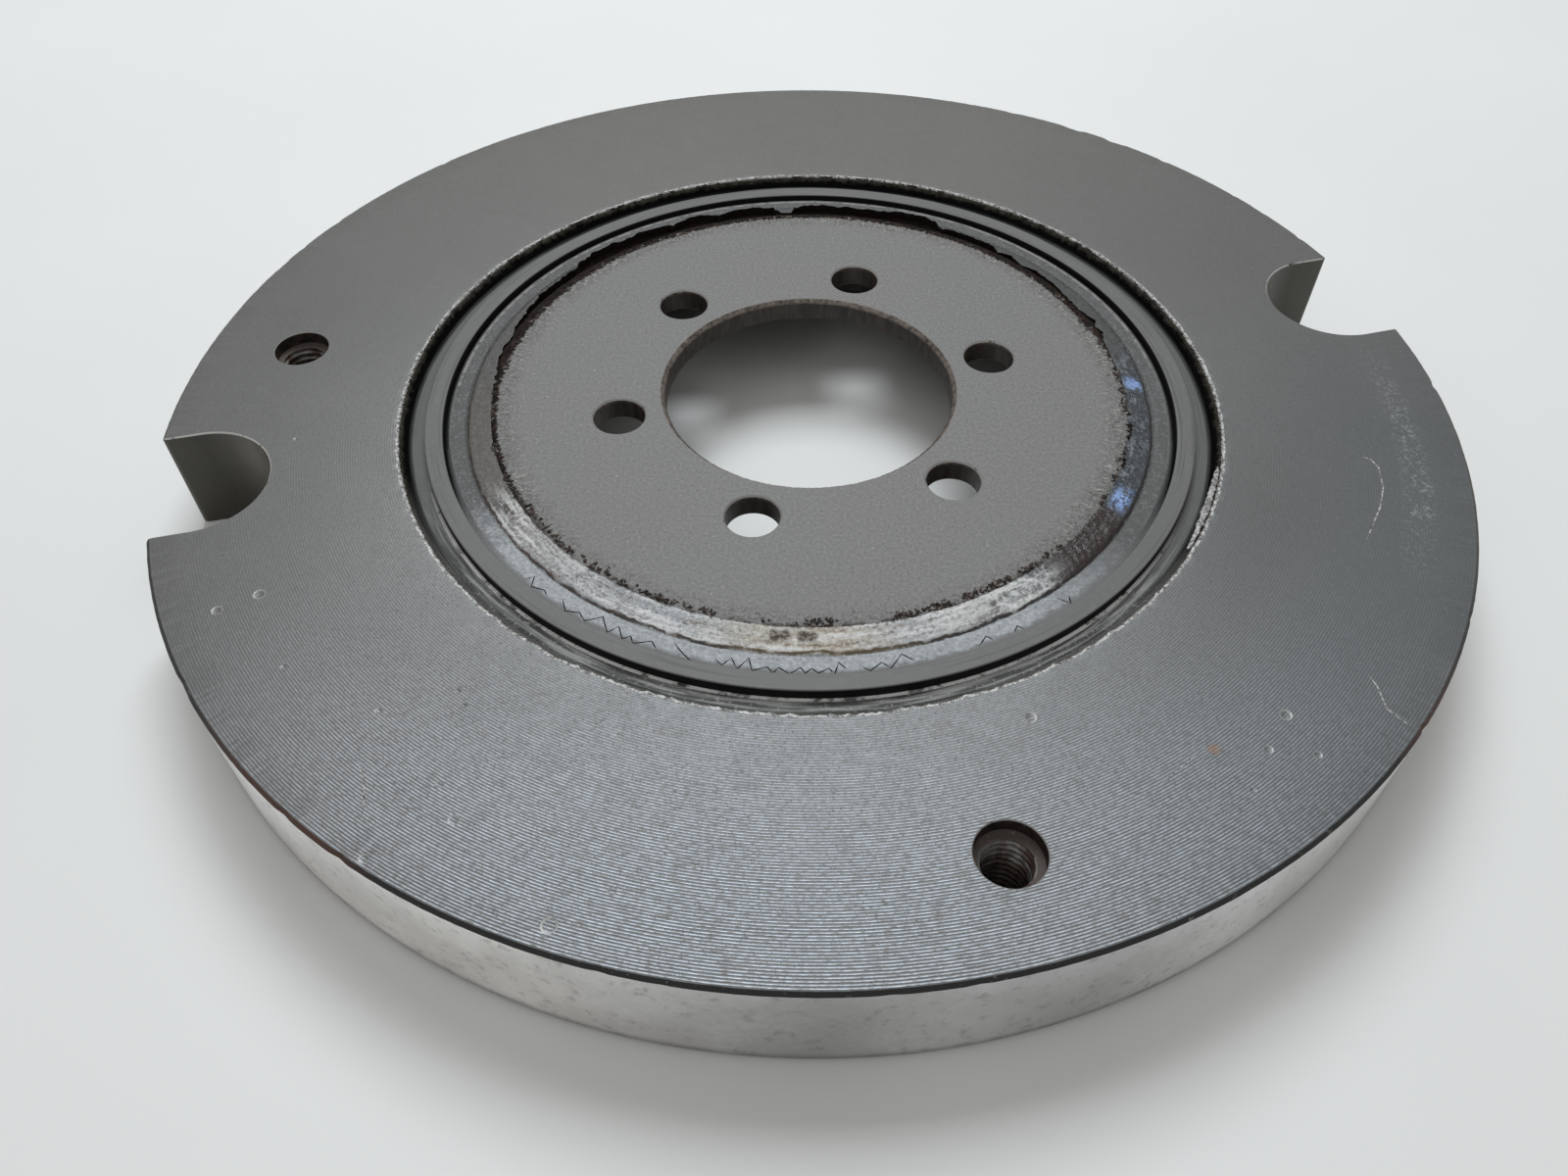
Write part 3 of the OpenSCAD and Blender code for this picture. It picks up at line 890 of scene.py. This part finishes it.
def make_ring():
    """The turned ring: burred recess mouth, nicked rim, notches, tapped holes, dents and scratches."""
    draw = np.random.default_rng(11)
    mouth = [(MOUTH_R + d, RING_H, 0) for d in (2.2, 1.2, 0.7, 0.35, 0.0)]
    slope = [(MOUTH_R - RECESS_SLOPE_W * k, RING_H - RECESS_DEPTH * k, 0) for k in (0.12, 0.3, 0.6)]
    section = rounded([
        (SLEEVE_R, BORE_LEAD_IN, 0.2), (SLEEVE_R + BORE_LEAD_IN, 0, 0.3),
        (RING_R - RIM_CHAMFER, 0, 0.2), (RING_R, RIM_CHAMFER, 0.2),
        (RING_R, RING_H - RIM_CHAMFER, 0.15), (RING_R - RIM_CHAMFER, RING_H, 0.15),
        *mouth, *slope, (MOUTH_R - RECESS_SLOPE_W, RECESS_Z, 0.3), (SLEEVE_R, RECESS_Z, 0)], 3)
    section = spaced(section, 4.5)
    turn, radius, height = swept(section, 1200)
    lip = np.clip(1 - np.abs(radius - MOUTH_R) / 0.8, 0, 1) * (height > RECESS_Z + 1.0)
    burr = 0.65 * ragged(turn, 720, draw, 2.0) + 0.35 * ragged(turn, 120, draw)
    radius -= lip * (0.6 * burr - 0.15)
    height += lip * (0.14 * burr - 0.08)
    nick = np.clip(ragged(turn, 260, draw, 6.0) - 0.35, 0, 1) + 0.12 * ragged(turn, 720, draw)
    rim_edge = (radius > RING_R - RIM_CHAMFER - 0.2) & (height > RING_H - RIM_CHAMFER - 0.2)
    radius -= rim_edge * 0.35 * nick
    height -= rim_edge * 0.22 * nick
    ring = revolve("ring", radius, height, [IRON])
    tools = [notch_tool(angle) for angle in NOTCH_ANGLES]
    for name in ("tapped_hole_1", "tapped_hole_2"):
        tools += tap_tools(mounts[name])
    tools += [dent_tool(*dent) for dent in DENTS]
    tools += [groove_tool(path, RING_H, 0.22, 0.06, BARE) for path in SCRATCHES]
    cut(ring, tools)
    edge = RING_R - RIM_CHAMFER
    paint(ring, [
        (RECESS, lambda r, z, up: (r < MOUTH_R - 0.12) & (z > RECESS_Z - 0.5)),
        (BARE, lambda r, z, up: (np.abs(r - MOUTH_R - 0.1) < 0.3) & (z > RECESS_Z + 1.0)),
        (OXIDE, lambda r, z, up: (r > edge - 0.05) & (np.abs(up) > 0.2) & (np.abs(up) < 0.98)),
        (RIM, lambda r, z, up: (r > edge) & (np.abs(up) < 0.21))])
    return settle(ring, "inertia", ["inertia_ring"])


def make_flap():
    """A curl of burr, torn off the recess mouth and hanging over the recess at the right."""
    draw = np.random.default_rng(5)
    first, last, steps = -33.0, -16.0, 90
    share = np.linspace(0, 1, steps)
    body = np.sin(np.pi * share) ** 0.35
    wide = 0.48 * body * (0.75 + 0.5 * uneven(share, 30, draw))
    mid_r = MOUTH_R - 0.75 - 0.25 * np.sin(np.pi * share) + 0.12 * uneven(share, 25, draw)
    mid_z = RING_H - 0.28 + 0.1 * uneven(share, 20, draw)
    ring = np.linspace(0, math.tau, 8, endpoint=False)
    points, faces = [], []
    for k in range(steps):
        angle = first + (last - first) * share[k]
        for a in ring:
            x, y = polar(mid_r[k] + wide[k] * math.cos(a), angle)
            points.append((x, y, mid_z[k] + 0.2 * body[k] * math.sin(a) + 0.25 * wide[k] * math.cos(a)))
    for k in range(steps - 1):
        for i in range(8):
            a, b = k * 8 + i, k * 8 + (i + 1) % 8
            faces.append((a, a + 8, b + 8, b))
    faces += [range(8), range(len(points) - 1, len(points) - 9, -1)]
    flap = solid("edge_burr", points, faces, [BARE])
    return settle(flap, "inertia", sharp=60.0)


def make_sleeve():
    """The pressed-in steel sleeve, with rounded edges and a wave in its wall."""
    draw = np.random.default_rng(3)
    inner = SLEEVE_R - SLEEVE_WALL
    section = spaced(rounded([
        (inner, SLEEVE_REAR, 0.35), (SLEEVE_R, SLEEVE_REAR, 0.35), (SLEEVE_R, SLEEVE_TOP, 0.22),
        (inner, SLEEVE_TOP, 0.22)], 5), 3.0)
    turn, radius, height = swept(section, 1080)
    top = height > SLEEVE_TOP - 0.8
    height -= top * 0.05 * ragged(turn, 48, draw)
    sleeve = revolve("sleeve", radius, height, [SLEEVE])
    return settle(sleeve, "inertia", ["outer_sleeve"], sharp=50.0)


# ---------------------------------------------------------------- rubber


def bend_top(radius):
    """Height of the hub's bend, outside, at a distance from the axis."""
    inside = np.clip(BEND_R ** 2 - np.clip(radius - (SKIRT_R - BEND_R), 0, None) ** 2, 0, None)
    return RING_H - BEND_R + np.sqrt(inside)


# The film's torn inner edge round the far side: direction, and its distance from the axis there
TEAR = [(10, 52.6), (15, 53.0), (18, 54.0), (24, 53.9), (27, 53.4), (31, 53.7), (36, 54.6),
        (42, 54.3), (47, 55.2), (49, 54.4), (52, 56.0), (57, 56.8), (61, 56.6), (62.5, 55.6),
        (65, 58.2), (72, 58.7), (77, 57.5), (84, 57.9), (90, 57.9), (93.4, 57.2), (94.2, 54.0),
        (96.2, 53.6), (97.6, 57.2), (103, 57.9), (108, 57.1), (113, 58.2), (118, 57.5),
        (124, 58.4), (129, 57.7), (135, 57.7), (141, 56.6), (149, 56.0), (156, 55.4), (162, 54.4),
        (166, 53.7), (172, 53.9), (178, 53.3), (184, 52.6)]


def film_edge(turn):
    """Distance from the axis to the film's torn inner edge."""
    draw = np.random.default_rng(29)
    degrees = np.degrees(turn)
    near = np.clip(np.cos(np.radians(degrees + 95)), 0, 1)
    edge = 52.3 - 0.6 * near + 1.2 * (ragged(turn, 260, draw, 2.0) - 0.3) + 0.5 * ragged(turn, 1100, draw)
    tear = np.interp(degrees, *np.array(TEAR).T)
    tear += (tear > 53.0) * (0.9 * ragged(turn, 170, draw) + 0.5 * ragged(turn, 520, draw) - 0.7)
    return np.maximum(edge, np.clip(tear, 0, 59.0))


def make_rubber():
    """The bonded rubber: a bare black body between hub and sleeve that laps up over the hub's bend."""
    draw = np.random.default_rng(7)
    top_r = np.linspace(RUBBER_R, 53.3, 30)
    bend = np.linspace(0.37, math.pi / 2, 9)[::-1]
    inside = BEND_R - 0.1
    under_r = SKIRT_R - BEND_R + inside * np.sin(bend[::-1])
    under_z = RING_H - BEND_R + inside * np.cos(bend[::-1])
    rear_r = np.linspace(SKIRT_R - 0.1, RUBBER_R, 9)
    rear_z = RUBBER_REAR + 0.5 * np.sin(np.linspace(0, math.pi, 9))
    top_z = np.maximum(RUBBER_FRONT - 1.6, bend_top(top_r) + 0.04)
    section_r = np.concatenate([rear_r, top_r, under_r])
    section_z = np.concatenate([rear_z, top_z, under_z])
    turn = turns(1200)
    radius, height = (np.repeat(s[None, :], len(turn), 0) for s in (section_r, section_z))
    on_top = np.zeros(section_r.size)
    on_top[rear_r.size + 1:rear_r.size + top_r.size] = 1.0
    torn = patchy(turn, radius, 900, 9, (52.0, RUBBER_R), draw)
    bare = np.clip((film_edge(turn) - 0.15 - radius) / 0.3, 0, 1)
    low = np.maximum(RUBBER_FRONT - 2.2, bend_top(radius) + 0.04)
    height += on_top * bare * (low - height)
    height += on_top * 0.12 * torn * np.clip((radius - 52.0) / 1.5, 0, 1)
    rubber = revolve("rubber", radius, height, [RUBBER])
    return settle(rubber, "hub", ["rubber_element"], sharp=70.0)


def zigzag(first, last, draw):
    """A crack that runs to and fro across the film between two directions."""
    path, angle, out = [], first, bool(draw.integers(2))
    while angle < last:
        reach = draw.random() ** 2
        path.append((60.0 - 0.4 * reach if out else 59.1 - 1.5 * reach, angle))
        angle += draw.uniform(0.6, 2.2)
        out = not out
    return [p for a, b in zip(path, path[1:]) for p in (a, tuple((np.array(a) + b) / 2))] + path[-1:]


def make_film():
    """The grey film on the rubber: cracked over the flat, creased, and torn where it laps the hub."""
    draw = np.random.default_rng(23)
    turn = turns(1800)
    edge = film_edge(turn)
    outer_r, rows_out, rows_in = RUBBER_R - 0.03, 18, 16
    flat_share, flash_share = np.linspace(0, 1, rows_out)[None, :], np.linspace(0, 1, rows_in + 1)[None, 1:]
    middle = np.maximum(CREASE_R, edge + 0.4)
    flat_r = outer_r + (middle - outer_r) * flat_share
    flash_r = middle + (edge - middle) * flash_share
    top_r = np.hstack([flat_r, flash_r])
    near = np.clip(1.3 * np.cos(turn + math.radians(88)), 0, 1)
    wide = np.where(near > 0.3, 0.42, 0.75)
    rise = np.clip((top_r - RUBBER_R + wide + 0.08) / wide, 0, 1)
    climb = (1.5 * np.minimum(near, 0.8) - 1.0) * rise ** 2
    slope = np.clip((CREASE_R - top_r) / (CREASE_R - FLASH_R), 0, 1) ** 0.85
    crease = 0.3 * np.exp(-((top_r - CREASE_R) / 0.25) ** 2)
    lump = patchy(turn, top_r, 700, 12, (51.5, RUBBER_R), draw)
    fine = patchy(turn, top_r, 1500, 24, (51.5, RUBBER_R), draw)
    flake = 0.03 + 0.10 * (top_r < CREASE_R - 0.4)
    top_z = RUBBER_FRONT + climb + slope - crease + flake * lump * 0.8 + 0.35 * flake * fine
    top_z = np.minimum(top_z, RING_H + 0.05)
    low_share = np.linspace(0, 1, 5)[None, :]
    low_r = edge + (outer_r - edge) * low_share
    low_z = np.maximum(RUBBER_FRONT - 1.7, bend_top(low_r) - 0.05)
    radius, height = np.hstack([top_r, low_r]), np.hstack([top_z, low_z])
    film = revolve("rubber_film", radius, height, [FILM])
    cracks = [zigzag(*run, draw) for run in ((-133, -127.5), (-126.5, -109.5), (-102, -83.5), (-82.5, -74),
                                             (-66.5, -63.0), (-61, -58), (-52, -49))]
    cracks.append([(57.6, -108.3), (58.4, -107.4), (59.3, -106.2), (60.0, -105.0), (60.0, -103.8)])
    cracks = [path for path in cracks if len(path) > 2]
    cut(film, [groove_tool(path, RUBBER_FRONT + 0.15, 0.26, 0.5, RUBBER, 0.4) for path in cracks])
    paint(film, [(RUBBER, lambda r, z, up: (up < 0.3) & (r > 53.2))])
    return settle(film, "hub", sharp=60.0)


def make_crumbs():
    """Torn crumbs of black rubber stuck along the film's inner edge, thickest in front."""
    draw = np.random.default_rng(41)
    rings = [(math.cos(a) * w, math.sin(a) * w, z)
             for z, w in ((-0.4, 0.9), (0.45, 0.85)) for a in np.arange(6) * math.tau / 6]
    ball = np.array([(0.0, 0.0, -1.0), *rings, (0.0, 0.0, 1.0)])
    shell = [(0, 1 + (i + 1) % 6, 1 + i) for i in range(6)]
    shell += [(1 + i, 1 + (i + 1) % 6, 7 + (i + 1) % 6, 7 + i) for i in range(6)]
    shell += [(13, 7 + i, 7 + (i + 1) % 6) for i in range(6)]
    points, faces = [], []
    spread = [(-150, -45, 60, 51.8), (-45, 12, 18, 52.3), (-180, -150, 10, 52.5), (12, 180, 26, 52.0)]
    for first, last, count, distance in spread:
        knots = np.repeat(draw.uniform(first, last, count), draw.integers(2, 8, count))
        for angle in knots + draw.normal(0, 0.7, knots.size):
            radius = distance + draw.normal(0, 0.28)
            long, wide, tall = draw.uniform(0.15, 0.75), draw.uniform(0.12, 0.4), draw.uniform(0.08, 0.22)
            shape = ball * (1 + draw.uniform(-0.3, 0.3, (14, 1))) * (long, wide, tall)
            lean = math.radians(angle + 90) + draw.normal(0, 0.8)
            c, s = math.cos(lean), math.sin(lean)
            x, y = polar(radius, angle)
            base = len(points)
            height = min(float(bend_top(np.array(radius))), RING_H) + 0.02
            points += [(x + u * c - v * s, y + u * s + v * c, height + w) for u, v, w in shape]
            faces += [tuple(base + i for i in f) for f in shell]
    crumbs = solid("rubber_crumbs", points, faces, [CRUMBS])
    return settle(crumbs, "hub", sharp=75.0)


# ---------------------------------------------------------------- hub cup


def make_hub():
    """The pressed cup: flat face, bend and skirt, pilot bore and bolt holes with broken edges."""
    draw = np.random.default_rng(17)
    under = RING_H - HUB_T
    section = spaced(rounded([
        (BORE_R, under, 0.35), (SKIRT_R - HUB_T, under, 1.0), (SKIRT_R - HUB_T, SKIRT_REAR, 0.4),
        (SKIRT_R, SKIRT_REAR, 0.6), (SKIRT_R, RING_H, BEND_R), (BORE_R + 0.7, RING_H, 0.25),
        (BORE_R, RING_H - 0.7, 0.25)], 9), 4.0)
    turn, radius, height = swept(section, 720)
    lip = (radius < BORE_R + 0.9) & (height > RING_H - 1.0)
    radius += lip * 0.12 * ragged(turn, 360, draw, 2.0)
    hub = revolve("hub", radius, height, [HUB])
    tools = []
    for k in range(BOLTS["count"]):
        x, y = polar(BOLTS["pcd_mm"] / 2, BOLT_FIRST_ANGLE + k * 360 / BOLTS["count"])
        tools.append(hole_tool(x, y, BOLTS["hole_r_mm"], under, RING_H, 0.25, BORE, 72))
    cut(hub, tools)
    paint(hub, [(BORE, lambda r, z, up: (r < BORE_R + 0.75) & (up < 0.97))])
    return settle(hub, "hub", ["hub_cup"])


# ---------------------------------------------------------------- floor and light


def make_floor():
    look = Look("floor_paint", rough=0.55)
    look.colour = look.mix(look.noise(0.01, 3), (0.70, 0.70, 0.69), (0.76, 0.76, 0.75))
    half = 2500.0
    points = [(-half, -half, -0.02), (half, -half, -0.02), (half, half, -0.02), (-half, half, -0.02)]
    floor = solid("floor", points, [(0, 1, 2, 3)], [look.finish()])


def make_light(name, place, aim, size, power, colour=(1.0, 1.0, 1.0)):
    """A soft square light, its place and aim in metres."""
    data = bpy.data.lights.new(name, "AREA")
    data.shape, data.size, data.energy, data.color = "SQUARE", size, power, colour
    aimed(data, place, aim)


def make_world(colour, strength):
    world = bpy.data.worlds.new("room")
    world.use_nodes = True
    sky = world.node_tree.nodes["Background"]
    sky.inputs["Color"].default_value = (*colour, 1.0)
    sky.inputs["Strength"].default_value = strength
    bpy.context.scene.world = world


make_ring()
make_flap()
make_sleeve()
make_rubber()
make_film()
make_crumbs()
make_hub()
make_floor()
make_light("window", (-0.05, 0.56, 0.95), (0, 0, 0), 0.55, 9.0, (0.90, 0.96, 1.0))
make_light("overhead", (-0.2, -0.35, 0.95), (0, 0, 0), 0.9, 1.15)
make_world((1.0, 0.995, 0.97), 0.385)
bpy.context.scene.view_settings.view_transform = "Standard"
